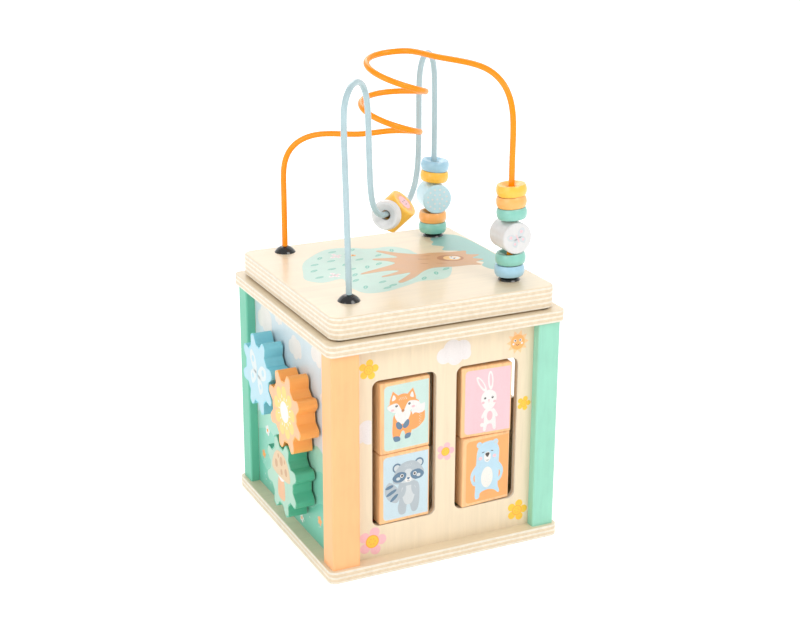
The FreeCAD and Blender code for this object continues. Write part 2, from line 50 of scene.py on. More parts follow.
# ---- colours, as seen (sRGB)
COLOURS = {
    "birch": (230, 212, 182),
    "birch_dark": (222, 184, 134),
    "birch_edge": (230, 223, 207),
    "orange_post": (250, 184, 126),
    "mint_post": (146, 208, 184),
    "block_wood": (246, 194, 140),
    "gear_orange": (255, 174, 90),
    "gear_orange_face": (242, 176, 126),
    "gear_blue": (130, 206, 222),
    "gear_blue_face": (168, 206, 218),
    "gear_green": (86, 182, 148),
    "gear_green_face": (160, 200, 178),
    "wire_orange": (255, 146, 0),
    "wire_blue": (172, 195, 200),
    "bead_green": (134, 198, 182),
    "bead_orange": (252, 178, 96),
    "bead_yellow": (250, 192, 66),
    "bead_blue": (160, 202, 222),
    "bead_pale_blue": (190, 222, 232),
    "bead_white": (214, 213, 212),
    "sky": (200, 214, 220),
    "cloud": (226, 221, 214),
    "cloud_white": (226, 220, 218),
    "hill_far": (158, 208, 188),
    "hill_mid": (132, 200, 178),
    "hill_near": (110, 190, 166),
    "cream": (232, 228, 220),
    "yellow": (246, 194, 52),
    "amber": (244, 164, 56),
    "pink": (238, 182, 188),
    "pink_label": (240, 190, 196),
    "orange_label": (246, 166, 98),
    "mint_label": (192, 216, 208),
    "blue_label": (192, 212, 220),
    "white": (226, 224, 221),
    "fox": (250, 156, 86),
    "slate": (92, 122, 146),
    "slate_light": (200, 206, 208),
    "slate_mid": (172, 182, 188),
    "bear": (180, 210, 226),
    "ink": (70, 64, 62),
    # Darker mint for the back-left post: painted shade, for the shade that falls on that post.
    "mint_post_painted_shade": (104, 188, 158),
    "owl": (236, 190, 118),
    "gear_flower": (240, 200, 104),
    "sun": (248, 172, 96),
    "sun_ray": (240, 194, 142),
    "trunk": (206, 158, 112),
    "trunk_dark": (180, 122, 78),
    "leaf": (112, 184, 168),
    "crown": (184, 212, 200),
    "grass": (146, 190, 182),
    "butterfly": (206, 216, 216),
    "mushroom": (214, 184, 142),
    "mushroom_spot": (196, 150, 108),
    "stem": (222, 168, 122),
    "clock_face": (250, 244, 230),
    "red": (226, 112, 92),
    "deep_blue": (96, 150, 184),
}


def linear(channel):
    v = channel / 255
    return v / 12.92 if v <= 0.04045 else ((v + 0.055) / 1.055) ** 2.4


def shade(name, bright):
    return (*(min(1.0, linear(channel) * bright) for channel in COLOURS[name]), 1.0)


# ---- materials
class Nodes:
    """A short way to write a shader's node tree."""

    def __init__(self, name):
        self.material = bpy.data.materials.new(name)
        self.material.use_nodes = True
        self.tree = self.material.node_tree
        self.tree.nodes.clear()
        self.output = self.tree.nodes.new("ShaderNodeOutputMaterial")
        self.shader = self.tree.nodes.new("ShaderNodeBsdfPrincipled")
        self.link(self.shader.outputs["BSDF"], self.output.inputs["Surface"])
        self.coords = self.tree.nodes.new("ShaderNodeTexCoord")

    def link(self, source, target):
        self.tree.links.new(source, target)

    def put(self, target, value):
        if isinstance(value, bpy.types.NodeSocket):
            self.link(value, target)
        else:
            target.default_value = value

    def math(self, operation, a, b=0.0):
        node = self.tree.nodes.new("ShaderNodeMath")
        node.operation = operation
        self.put(node.inputs[0], a)
        self.put(node.inputs[1], b)
        return node.outputs[0]

    def weighted(self, a, share_a, b, share_b):
        return self.math("ADD", self.math("MULTIPLY", a, share_a), self.math("MULTIPLY", b, share_b))

    def scaled(self, scale):
        node = self.tree.nodes.new("ShaderNodeMapping")
        self.link(self.coords.outputs["Object"], node.inputs["Vector"])
        node.inputs["Scale"].default_value = scale
        return node.outputs["Vector"]

    def noise(self, scale, stretch, detail, roughness=0.55, distortion=0.0):
        node = self.tree.nodes.new("ShaderNodeTexNoise")
        self.link(self.scaled(stretch), node.inputs["Vector"])
        node.inputs["Scale"].default_value = scale
        node.inputs["Detail"].default_value = detail
        node.inputs["Roughness"].default_value = roughness
        node.inputs["Distortion"].default_value = distortion
        return node.outputs["Fac"]

    def ramp(self, factor, stops):
        node = self.tree.nodes.new("ShaderNodeValToRGB")
        elements = node.color_ramp.elements
        while len(elements) < len(stops):
            elements.new(0.5)
        for element, (place, colour) in zip(elements, stops):
            element.position = place
            element.color = colour
        self.put(node.inputs["Fac"], factor)
        return node.outputs["Color"]

    def tones(self, factor, colour, stops):
        """Shades of one colour; each stop is a place on the ramp and how bright it is there."""
        return self.ramp(factor, [(place, shade(colour, bright)) for place, bright in stops])

    def remap(self, value, low_in, high_in, low_out, high_out):
        node = self.tree.nodes.new("ShaderNodeMapRange")
        self.put(node.inputs["Value"], value)
        node.inputs["From Min"].default_value = low_in
        node.inputs["From Max"].default_value = high_in
        node.inputs["To Min"].default_value = low_out
        node.inputs["To Max"].default_value = high_out
        return node.outputs["Result"]

    def mix(self, factor, a, b, blend="MIX"):
        node = self.tree.nodes.new("ShaderNodeMix")
        node.data_type = "RGBA"
        node.blend_type = blend
        self.put(node.inputs["Factor"], factor)
        self.put(node.inputs[6], a)
        self.put(node.inputs[7], b)
        return node.outputs[2]

    def axis(self, name, source="Object"):
        node = self.tree.nodes.new("ShaderNodeSeparateXYZ")
        self.link(self.coords.outputs[source], node.inputs[0])
        return node.outputs[name]

    def bump(self, height, strength, distance):
        node = self.tree.nodes.new("ShaderNodeBump")
        node.inputs["Strength"].default_value = strength
        node.inputs["Distance"].default_value = distance
        self.put(node.inputs["Height"], height)
        self.link(node.outputs["Normal"], self.shader.inputs["Normal"])

    def edge_highlight_mask(self, radius):
        """White along rounded edges, where a rounded normal leaves the true one: a painted highlight."""
        bevel = self.tree.nodes.new("ShaderNodeBevel")
        bevel.samples = 4
        bevel.inputs["Radius"].default_value = radius
        geometry = self.tree.nodes.new("ShaderNodeNewGeometry")
        dot = self.tree.nodes.new("ShaderNodeVectorMath")
        dot.operation = "DOT_PRODUCT"
        self.link(bevel.outputs["Normal"], dot.inputs[0])
        self.link(geometry.outputs["Normal"], dot.inputs[1])
        return self.remap(dot.outputs["Value"], 0.99, 0.8, 0.0, 1.0)

    def finish(self, colour, roughness, coat=0.0, coat_roughness=0.1, specular=0.5, metallic=0.0):
        self.put(self.shader.inputs["Base Color"], colour)
        self.put(self.shader.inputs["Roughness"], roughness)
        self.shader.inputs["Coat Weight"].default_value = coat
        self.shader.inputs["Coat Roughness"].default_value = coat_roughness
        self.shader.inputs["Specular IOR Level"].default_value = specular
        self.shader.inputs["Metallic"].default_value = metallic
        return self.material


EVEN = (1, 1, 1)
WHOLE_CYCLES = 20.0  # added so that no layer's place is below nought


def grain_stretch(along):
    return {"X": (1, 12, 12), "Y": (12, 1, 12), "Z": (12, 12, 1)}[along]


def plywood(name, board, axis, ply, grain, coat):
    """Veneer on the faces, and on the cut edges layers along axis from a board's low side."""
    n = Nodes(name)
    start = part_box(board)[0]["XYZ".index(axis)]
    fibres = n.noise(26, grain_stretch(grain), 6, 0.6, 0.5)
    broad = n.noise(9, grain_stretch(grain), 3, 0.5, 1.2)
    pores = n.noise(240, grain_stretch(grain), 2, 0.5)
    tone = n.weighted(fibres, 0.6, broad, 0.4)
    face = n.tones(tone, "birch", [(0.30, 0.90), (0.44, 0.97), (0.62, 1.03)])
    place = n.math("SUBTRACT", n.axis(axis), start)
    wobble = n.math("MULTIPLY", n.math("SUBTRACT", n.noise(22, EVEN, 2), 0.5), ply * 0.25)
    layer = n.math("MULTIPLY", n.math("ADD", place, wobble), 1 / (2 * ply))
    cycle = n.math("FRACT", n.math("ADD", layer, WHOLE_CYCLES))
    layers = n.ramp(cycle, [
        (0.0, shade("birch_edge", 0.99)),
        (0.46, shade("birch_edge", 1.0)),
        (0.50, shade("birch_dark", 1.02)),
        (0.56, shade("birch", 0.90)),
        (0.93, shade("birch", 0.93)),
        (1.0, shade("birch_dark", 1.05)),
    ])
    speckle = n.noise(420, EVEN, 2)
    end_grain = n.ramp(speckle, [(0.35, (0.86, 0.82, 0.76, 1)), (0.6, (1, 1, 1, 1))])
    layers_marked = n.mix(0.5, layers, end_grain, "MULTIPLY")
    facing = n.math("ABSOLUTE", n.axis(axis, "Normal"))
    on_face = n.remap(facing, 0.55, 0.85, 0.0, 1.0)
    colour = n.mix(on_face, layers_marked, face)
    n.bump(n.weighted(fibres, 0.7, pores, 0.3), 0.12, 0.6 * MM)
    rough = n.math("ADD", n.remap(on_face, 0, 1, 0.12, 0.0), n.remap(fibres, 0.3, 0.7, 0.30, 0.40))
    return n.finish(colour, rough, coat=coat, coat_roughness=0.16)


def solid_wood(name, colour, grain):
    """Bare wood with its grain along one axis."""
    n = Nodes(name)
    fibres = n.noise(30, grain_stretch(grain), 6, 0.6, 0.8)
    pores = n.noise(300, grain_stretch(grain), 2)
    tint = n.tones(fibres, colour, [(0.3, 0.78), (0.5, 0.96), (0.7, 1.06)])
    n.bump(n.math("ADD", fibres, n.math("MULTIPLY", pores, 0.4)), 0.15, 0.6 * MM)
    return n.finish(tint, n.remap(fibres, 0.3, 0.7, 0.42, 0.58), specular=0.4)


def paint(name, colour, grain="Z", rough=0.42, edge_highlight_radius=0.4 * MM, coat=0.0):
    """Satin paint on wood: the grain shows a little through it, and the rounded edges are painted lighter,
    towards the pale wood colour, as a painted highlight.
    """
    n = Nodes(name)
    fibres = n.noise(34, grain_stretch(grain), 5, 0.6, 0.6)
    cloudy = n.noise(60, EVEN, 3)
    orange_peel = n.noise(900, EVEN, 2)
    tone = n.weighted(fibres, 0.5, cloudy, 0.5)
    base = n.tones(tone, colour, [(0.32, 0.93), (0.5, 1.0), (0.68, 1.05)])
    # Painted highlight: the rounded edges are mixed towards pale wood, more in some places than others.
    edge_highlight_share = n.math("MULTIPLY", n.edge_highlight_mask(edge_highlight_radius), n.remap(cloudy, 0.35, 0.65, 0.15, 0.6))
    tint = n.mix(edge_highlight_share, base, shade("birch_edge", 0.98))
    n.bump(n.math("ADD", fibres, n.math("MULTIPLY", orange_peel, 0.25)), 0.10, 0.5 * MM)
    roughness = n.remap(cloudy, 0.3, 0.7, rough - 0.05, rough + 0.07)
    return n.finish(tint, roughness, coat=coat, coat_roughness=0.2)


def ink(name, colour):
    """Printed colour, with a fine mottled tone like a screen print on wood."""
    n = Nodes(name)
    fibres = n.noise(30, (4, 4, 1), 5, 0.6, 0.4)
    speckle = n.noise(1400, EVEN, 2)
    tone = n.weighted(fibres, 0.6, speckle, 0.4)
    tint = n.tones(tone, colour, [(0.34, 0.94), (0.5, 1.0), (0.66, 1.04)])
    n.bump(speckle, 0.05, 0.2 * MM)
    return n.finish(tint, n.remap(fibres, 0.3, 0.7, 0.36, 0.46), coat=0.15, coat_roughness=0.25)


def coated_wire(name, colour):
    """Smooth plastic coating on a wire."""
    n = Nodes(name)
    cloudy = n.noise(90, EVEN, 3)
    fine = n.noise(1100, EVEN, 2)
    tint = n.tones(cloudy, colour, [(0.3, 0.94), (0.7, 1.04)])
    n.bump(n.math("ADD", cloudy, n.math("MULTIPLY", fine, 0.1)), 0.03, 0.3 * MM)
    roughness = n.remap(fine, 0.3, 0.7, 0.2, 0.3)
    return n.finish(tint, roughness, coat=0.08, coat_roughness=0.08, specular=0.3)


def plastic(name, rgb, low, high, metallic=0.0):
    """Plastic, or bare metal where metallic is 1; its roughness runs from low to high."""
    n = Nodes(name)
    cloudy = n.noise(120, EVEN, 3)
    fine = n.noise(900, EVEN, 2)
    dark = tuple(c * 0.85 for c in rgb) + (1,)
    tint = n.ramp(cloudy, [(0.3, dark), (0.7, (*rgb, 1))])
    n.bump(fine, 0.05, 0.3 * MM)
    coat = 0.0 if metallic else 0.3
    return n.finish(tint, n.remap(cloudy, 0.3, 0.7, low, high), metallic=metallic, coat=coat)


# How thick one layer of each plywood is.
PLY = 1.42 * MM
BOARD_PLY = 1.47 * MM
PANEL_PLY = 1.33 * MM

CAD_MATERIALS = {
    "lid_board": plywood("lid_plywood", "lid_board", "Z", PLY, "X", 0.5),
    "lid_locator": plywood("locator_plywood", "lid_board", "Z", PLY, "Y", 0.0),
    "collar_frame": plywood("collar_plywood", "collar_frame", "Z", PLY, "X", 0.2),
    "base_board": plywood("base_plywood", "base_board", "Z", BOARD_PLY, "X", 0.2),
    "front_panel": plywood("front_plywood", "front_panel", "Y", PANEL_PLY, "Z", 0.2),
    "back_panel": plywood("back_plywood", "back_panel", "Y", PANEL_PLY, "Z", 0.2),
    "sorter_panel": plywood("sorter_plywood", "sorter_panel", "X", PANEL_PLY, "Z", 0.2),
    "gear_panel": plywood("gear_panel_plywood", "gear_panel", "X", PANEL_PLY, "Z", 0.2),
    "post_front_left": paint("post_orange", "orange_post"),
    "post_back_right": paint("post_orange_back", "orange_post"),
    "post_front_right": paint("post_mint", "mint_post"),
    # The back-left post's paint is the darker mint: painted shade on that post.
    "post_back_left": paint("post_mint_painted_shade", "mint_post_painted_shade"),
    "wire_orange": coated_wire("wire_orange_coat", "wire_orange"),
    "wire_blue": coated_wire("wire_blue_coat", "wire_blue"),
    "wire_caps": plastic("cap_black", (0.012, 0.012, 0.013), 0.10, 0.2),
    "lid_pads": plastic("pad_rubber", (0.03, 0.026, 0.022), 0.6, 0.75),
    "clock_pin": plastic("pin_plastic", (0.86, 0.82, 0.74), 0.25, 0.35),
    "clock_pin_nut": plastic("nut_plastic", (0.80, 0.76, 0.68), 0.3, 0.4),
    "hour_hand": paint("hour_hand_paint", "deep_blue"),
    "minute_hand": paint("minute_hand_paint", "red"),
    "square_block": paint("square_paint", "yellow"),
    "triangle_block": paint("triangle_paint", "red"),
    "hexagon_block": paint("hexagon_paint", "gear_green"),
    "cylinder_block": paint("cylinder_paint", "deep_blue"),
}
for gear_name in ("gear_orange", "gear_blue", "gear_green"):
    CAD_MATERIALS[gear_name] = paint(gear_name + "_paint", gear_name, "X")
STEEL = plastic("zinc_steel", (0.62, 0.62, 0.63), 0.25, 0.4, metallic=1.0)
DOWEL_WOOD = solid_wood("dowel_wood", "block_wood", "X")
BLOCK_WOOD = solid_wood("picture_block_wood", "block_wood", "Z")
BEAD_PAINTS = {}
for bead_tint in ("green", "orange", "yellow", "blue", "pale_blue", "white"):
    bead_name = "bead_" + bead_tint
    BEAD_PAINTS[bead_tint] = paint(bead_name, bead_name, rough=0.36, edge_highlight_radius=0.3 * MM, coat=0.4)
DRUM_TINTS = {"drum_c3_dotted": "pale_blue", "drum_d3_butterfly": "white"}


def material_of(node):
    if node in CAD_MATERIALS:
        return CAD_MATERIALS[node]
    if node.startswith(("ring_", "drum_")):
        return BEAD_PAINTS[DRUM_TINTS.get(node) or node.split("_")[2]]
    if node.startswith("block_"):
        return BLOCK_WOOD
    if node.startswith(("axle_", "retainer_", "collar_dowels", "gear_washers")):
        return DOWEL_WOOD
    return STEEL


# Widths of the rounded edges, in millimetres.
SOFT_EDGES = {
    "gear_orange": 0.9, "gear_blue": 0.9, "gear_green": 0.9, "hour_hand": 0.5, "minute_hand": 0.5,
    "sorter_panel": 0.5, "front_panel": 0.4, "collar_frame": 0.4,
}
SHARP_EDGE = 50
for node_name, node_object in NODES.items():
    node_object.data.materials.clear()
    node_object.data.materials.append(material_of(node_name))
    if node_name in SOFT_EDGES:
        bevel = node_object.modifiers.new("soft_edges", "BEVEL")
        bevel.width = SOFT_EDGES[node_name] * MM
        bevel.segments = 3
        bevel.limit_method = "ANGLE"
        bevel.angle_limit = math.radians(SHARP_EDGE)

INKS = {}


def ink_material(colour):
    if colour not in INKS:
        INKS[colour] = ink("ink_" + colour, colour)
    return INKS[colour]


# ---- outlines, in millimetres on a face
CORNER_STEPS = 8
RIDGE_STEPS = 5
SMILE_STEPS = 10
FLOWER_POINTS = 120
FLOWER_HEART = 0.42


def round_places(count, radius, start=0.0):
    """Places spaced evenly on a circle; start is the first one's angle in degrees."""
    angles = [math.radians(start) + 2 * math.pi * k / count for k in range(count)]
    return [(radius * math.cos(a), radius * math.sin(a)) for a in angles]


def ellipse(x, y, rx, ry=None, turn=0.0, count=36):
    ry = rx if ry is None else ry
    return moved([(rx * a, ry * b) for a, b in round_places(count, 1)], x, y, turn=turn)


def flower(x, y, radius, petals, turn, petal=0.36):
    """Round petals set in a circle; petal is their radius as a share of the whole."""
    places = round_places(petals, radius * (1 - petal), turn)
    circles = [(0, 0, radius * FLOWER_HEART)] + [(a, b, radius * petal) for a, b in places]
    return union(circles, x, y, FLOWER_POINTS)


def union(circles, x, y, count=96):
    """The outline round circles set about (x, y), as far as each reaches in every direction."""
    points = []
    for k in range(count):
        a = 2 * math.pi * k / count
        dx, dy = math.cos(a), math.sin(a)
        best = 0.0
        for cx, cy, r in circles:
            along = cx * dx + cy * dy
            off = cx * cx + cy * cy - along * along
            if off < r * r:
                best = max(best, along + math.sqrt(r * r - off))
        points.append((x + best * dx, y + best * dy))
    return points


def cloud(x, y, size):
    lumps = [(-0.55, -0.08, 0.42), (-0.1, 0.22, 0.5), (0.45, 0.16, 0.46), (0.62, -0.12, 0.32),
             (0.05, -0.2, 0.44)]
    return union([(a * size, b * size, r * size) for a, b, r in lumps], x, y)


def span(p0, p1, p2, p3, steps):
    """Points of a Catmull-Rom curve, from p1 up to the last one before p2."""
    out = []
    for s in range(steps):
        t = s / steps
        q = 0.5 * (2 * p1 + (p2 - p0) * t + (2 * p0 - 5 * p1 + 4 * p2 - p3) * t * t
                   + (3 * p1 - p0 - 3 * p2 + p3) * t ** 3)
        out.append((q.x, q.y))
    return out


def smooth(points, steps=6):
    """A closed curve through points."""
    out = []
    n = len(points)
    for i in range(n):
        out += span(*(Vector(points[(i + k - 1) % n]) for k in range(4)), steps)
    return out


def ridge_curve(points):
    """An open curve through points, from the first to the last."""
    out = []
    last = len(points) - 1
    for i in range(last):
        out += span(*(Vector(points[min(max(i + k - 1, 0), last)]) for k in range(4)), RIDGE_STEPS)
    return out + [points[-1]]


def rounded_rectangle(width, height, radius):
    points = []
    for sx, sy, start in ((1, 1, 0), (-1, 1, 90), (-1, -1, 180), (1, -1, 270)):
        cx, cy = sx * (width / 2 - radius), sy * (height / 2 - radius)
        for k in range(CORNER_STEPS + 1):
            a = math.radians(start + 90 * k / CORNER_STEPS)
            points.append((cx + radius * math.cos(a), cy + radius * math.sin(a)))
    return points


def moved(points, x=0.0, y=0.0, scale=1.0, turn=0.0, flip=False):
    """points mirrored left to right if flip, then scaled, turned by degrees and shifted."""
    c, s = math.cos(math.radians(turn)), math.sin(math.radians(turn))
    sign = -1 if flip else 1
    out = [(x + scale * (sign * a * c - b * s), y + scale * (sign * a * s + b * c)) for a, b in points]
    return out[::-1] if flip else out


def kept_inside(points, low_u, high_u, low_v, high_v):
    return [(min(max(u, low_u), high_u), min(max(v, low_v), high_v)) for u, v in points]


# ---- prints: thin closed shapes laid on a face
PRINT_STEP = 0.02
PRINT_SUNK = 0.05
SAME_PLACE = 0.02


def drawable(points):
    """points anticlockwise, without any that repeat the one before."""
    out = []
    for p in points:
        if not out or math.dist(p, out[-1]) > SAME_PLACE:
            out.append(p)
    if math.dist(out[0], out[-1]) < SAME_PLACE:
        out.pop()
    area = sum(a[0] * b[1] - b[0] * a[1] for a, b in zip(out, out[1:] + out[:1]))
    return out[::-1] if area < 0 else out


def new_object(name, data):
    made = bpy.data.objects.new(name, data)
    bpy.context.scene.collection.objects.link(made)
    return made


class Print:
    """Flat shapes in layers on one face. U and V run along the face and N out of it."""

    def __init__(self, name, origin, u, v, body, slot):
        self.name, self.body, self.slot = name, body, slot
        self.origin = Vector(origin) / MM
        self.u, self.v = Vector(u).normalized(), Vector(v).normalized()
        self.n = self.u.cross(self.v)
        self.mesh = bmesh.new()
        self.colours = []

    def add(self, colour, points, layer=1):
        """One shape, as a slab from just under the face to its layer's height."""
        if colour not in self.colours:
            self.colours.append(colour)
        outline = drawable(points)
        rings = []
        for height in (-PRINT_SUNK, PRINT_STEP * layer):
            places = [self.origin + self.u * a + self.v * b + self.n * height for a, b in outline]
            rings.append([self.mesh.verts.new(place) for place in places])
        low, high = rings
        faces = [self.mesh.faces.new(high), self.mesh.faces.new(low[::-1])]
        for i in range(len(low)):
            j = (i + 1) % len(low)
            faces.append(self.mesh.faces.new((low[i], low[j], high[j], high[i])))
        for face in faces:
            face.material_index = self.colours.index(colour)
        for face in faces[:2]:
            face.normal_update()
        bmesh.ops.triangulate(self.mesh, faces=faces[:2])

    def curve(self, colour, points, layer, steps=6):
        self.add(colour, smooth(points, steps), layer)

    def both(self, colour, outline, layer, middle=0.0):
        """An outline drawn right of the line u = middle, and its mirror image to the left."""
        for flip in (False, True):
            self.add(colour, moved(outline, middle, flip=flip), layer)

    def build(self):
        """The shapes are drawn in millimetres, where the triangulation is exact, and scaled here."""
        data = bpy.data.meshes.new(self.name)
        bmesh.ops.scale(self.mesh, vec=(MM, MM, MM), verts=self.mesh.verts)
        self.mesh.to_mesh(data)
        self.mesh.free()
        for colour in self.colours:
            data.materials.append(ink_material(colour))
        piece = new_object(self.name, data)
        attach(piece, self.body)


def flower_motif(page, x, y, radius, petal, layer=1, turn=90):
    """Five petals round a yellow heart with an amber ring and seeds."""
    page.add(petal, flower(x, y, radius, 5, turn), layer)
    page.add("amber", ellipse(x, y, radius * 0.47), layer + 1)
    page.add("yellow", ellipse(x, y, radius * 0.40), layer + 2)
    for a, b in round_places(6, radius * 0.2):
        page.add("amber", ellipse(x + a, y + b, radius * 0.05), layer + 3)


def butterfly_motif(page, x, y, size, wing, mark, turn, layer=1):
    for flip in (False, True):
        upper = smooth([(0.03, 0.05), (0.35, 0.62), (0.85, 0.72), (0.92, 0.32), (0.5, 0.0)])
        lower = smooth([(0.03, 0.0), (0.5, -0.04), (0.72, -0.38), (0.46, -0.72), (0.16, -0.42)])
        page.add(wing, moved(upper, x, y, size, turn, flip), layer)
        page.add(wing, moved(lower, x, y, size, turn, flip), layer)
        for cx, cy, r in ((0.58, 0.42, 0.14), (0.45, -0.34, 0.11)):
            page.add(mark, moved(ellipse(cx, cy, r), x, y, size, turn, flip), layer + 1)
    page.add(mark, moved(ellipse(0, 0, 0.055, 0.42), x, y, size, turn), layer + 2)


# ---- front panel
def print_front_panel():
    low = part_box("front_panel")[0]
    page = Print("front_panel_print", (0, low.y, 0), (1, 0, 0), (0, 0, 1), "case", "birch_ply")
    flower_motif(page, -47.5, 124.4, 6.2, "yellow", turn=80)
    flower_motif(page, 53.0, 87.0, 4.6, "yellow", turn=70)
    flower_motif(page, 50.6, 17.8, 7.0, "yellow", turn=75)
    flower_motif(page, 1.4, 65.7, 5.8, "pink", turn=75)
    flower_motif(page, -45.4, 17.8, 9.0, "pink", turn=75)
    page.add("cloud_white", cloud(6.2, 126.0, 11.6))
    page.add("cloud_white", kept_inside(cloud(-47.5, 86.3, 11.0), -55.2, -45.8, 70, 100))
    sun(page, 47.6, 126.2, 7.4)
    page.build()


def sun(page, x, y, radius):
    rays = []
    for k in range(20):
        a = math.pi * k / 10
        r = radius * (1.0 if k % 2 == 0 else 0.66)
        rays.append((x + r * math.cos(a), y + r * math.sin(a)))
    page.add("sun_ray", rays)
    page.add("sun", ellipse(x, y, radius * 0.62), 2)
    page.both("white", ellipse(radius * 0.24, y + radius * 0.14, radius * 0.12), 3, x)
    page.both("ink", ellipse(radius * 0.22, y + radius * 0.14, radius * 0.065), 4, x)
    page.both("white", ellipse(radius * 0.38, y - radius * 0.12, radius * 0.09), 3, x)
    page.add("ink", smile(x, y - radius * 0.2, radius * 0.2, radius * 0.05), 3)


def smile(x, y, width, thick):
    """A thin arc that bends down in the middle."""
    turns = [math.pi * (1.15 + 0.7 * k / SMILE_STEPS) for k in range(SMILE_STEPS + 1)]
    middle = y + width * 0.6
    outer, inner = ([(x + r * math.cos(a), middle + r * math.sin(a)) for a in turns]
                    for r in (width, width - thick))
    return outer + inner[::-1]


# ---- gear panel
MEADOW_TOP = 40
MEADOW_SPOTS = 34


def print_gear_panel():
    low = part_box("gear_panel")[0]
    left, right = -59.4, 58.2
    bottom, top = 7.6, 137.4
    page = Print("gear_panel_print", (low.x, 0, 0), (0, -1, 0), (0, 0, 1), "case", "printed_sky")
    page.add("sky", [(left, bottom), (right, bottom), (right, top), (left, top)])
    for u, v, size in ((-43, 122, 12.5), (6, 120, 10.5), (41, 127, 11), (-20, 130, 6), (49, 103, 7)):
        page.add("cloud", cloud(u, v, size), 2)
    far = [(left, 56), (-44, 62), (-30, 66.5), (-12, 60), (8, 56), (22, 62), (37, 70), (50, 66),
           (right, 60)]
    middle = [(left, 44), (-40, 50), (-18, 44), (4, 38), (24, 46), (43, 56), (right, 50)]
    near = [(left, 27), (-43, 20), (-20, 28), (6, 31), (26, 26), (41, 35), (right, 38)]
    hills = (("hill_far", far, 3), ("hill_mid", middle, 4), ("hill_near", near, 5))
    for colour, ridge, layer in hills:
        page.add(colour, ridge_curve(ridge) + [(right, bottom), (left, bottom)], layer)
    for u, v, radius, petal in ((-43, 48.7, 3.6, "white"), (-50.5, 29.8, 3.0, "orange_label"),
                                (40, 23.5, 3.2, "orange_label"), (49, 46, 3.2, "white"),
                                (-30, 14, 2.6, "pink"), (12, 13, 3.0, "white")):
        page.add(petal, flower(u, v, radius, 5, 80), 6)
        page.add("amber", ellipse(u, v, radius * 0.32), 7)
    spots = random.Random(SEED)
    for _ in range(MEADOW_SPOTS):
        u, v = spots.uniform(left + 4, right - 4), spots.uniform(bottom + 3, MEADOW_TOP)
        page.add("crown", ellipse(u, v, 0.55, count=12), 6)
    page.build()


# ---- gear faces
# Tips and roots in millimetres, the share of a pitch that each takes in degrees.
TEETH = 8
GEAR_TIP = 24.8
GEAR_ROOT = 18.6
TOOTH_TIP = 3.2
TOOTH_ROOT = 7.0
FACE_INSET = 1.0
FACE_POINTS = 192
GEAR_PHASES = {"blue": -17.6, "orange": 16.5, "green": -20.0}


def gear_outline(phase, inset):
    """The tooth outline, drawn inset from the CAD gear's edge."""
    points = []
    pitch = 360 / TEETH
    for k in range(FACE_POINTS):
        angle = 360 * k / FACE_POINTS
        from_tip = abs((angle + pitch / 2) % pitch - pitch / 2)
        share = min(1.0, max(0.0, (from_tip - TOOTH_TIP) / (pitch / 2 - TOOTH_ROOT - TOOTH_TIP)))
        r = GEAR_ROOT + (GEAR_TIP - GEAR_ROOT) * (0.5 + 0.5 * math.cos(math.pi * share)) - inset
        a = math.radians(angle + phase)
        points.append((-r * math.cos(a), r * math.sin(a)))
    return points


def gear_page(colour):
    """A page on one gear's face, centred on its joint."""
    gear = "gear_" + colour
    place = JOINTS[gear + "_turn"]["pos_m"]
    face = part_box(gear)[0].x
    origin = (face, place[1], place[2])
    page = Print(gear + "_print", origin, (0, -1, 0), (0, 0, 1), gear + "_set", gear + "_paint")
    page.add(gear + "_face", gear_outline(GEAR_PHASES[colour], FACE_INSET))
    return page


def print_gear_blue():
    page = gear_page("blue")
    butterfly_motif(page, 0, 0, 14.5, "butterfly", "gear_blue_face", turn=-14, layer=2)
    page.build()


def print_gear_orange():
    page = gear_page("orange")
    page.add("gear_flower", flower(0, 0, 16.0, 9, 90, 0.24), 2)
    page.add("white", ellipse(0, 0, 6.4), 3)
    for k in range(16):
        ray = ellipse(9.4 if k % 2 else 8.0, 0, 1.1, 0.4, count=14)
        page.add("white", moved(ray, turn=360 * k / 16), 3)
    page.build()


def print_gear_green():
    """A mushroom."""
    page = gear_page("green")
    size = 1.25
    stem = [(-3.2, -1.0), (3.2, -1.0), (4.6, -9.5), (2.6, -12.0), (-2.6, -12.0), (-4.6, -9.5)]
    skirt = [(-4.4, -0.5), (0, -2.6), (4.4, -0.5), (3.4, 1.4), (-3.4, 1.4)]
    cap = [(-11, 0.6), (-9.4, 7.4), (-4.2, 11.8), (4.2, 11.8), (9.4, 7.4), (11, 0.6), (0, -0.8)]
    for colour, outline, layer in (("stem", stem, 2), ("white", skirt, 3), ("mushroom", cap, 4)):
        page.add(colour, moved(smooth(outline), scale=size), layer)
    spots = ((-6, 4.6, 1.8), (0.4, 7.8, 2), (6.2, 4.2, 1.7), (0.6, 2.4, 1.3), (-3.2, 9.4, 1), (4.6, 9, 0.9))
    for x, y, r in spots:
        page.add("mushroom_spot", moved(ellipse(x, y, r, r * 1.15), scale=size), 5)
    page.build()


# ---- picture blocks
LABEL_LEFT = 13.8
LABEL_RIGHT = 15.3
LABEL_CORNER = 2.4
LABEL_TALL = 39.6
BLOCK_HALF = 6.0
# How far each block is turned about its rod at rest, in degrees.
BLOCK_TURNS = {"fox": 4.0, "raccoon": 2.0, "rabbit": -3.0, "bear": 4.0}


def label_outline():
    """Rounded at the left, cut square along the right edge of the block."""
    rounded = rounded_rectangle(2 * LABEL_LEFT, LABEL_TALL, LABEL_CORNER)
    left = [p for p in rounded if p[0] <= LABEL_CORNER - LABEL_LEFT + 0.01]
    return left + [(LABEL_RIGHT, -LABEL_TALL / 2), (LABEL_RIGHT, LABEL_TALL / 2)]


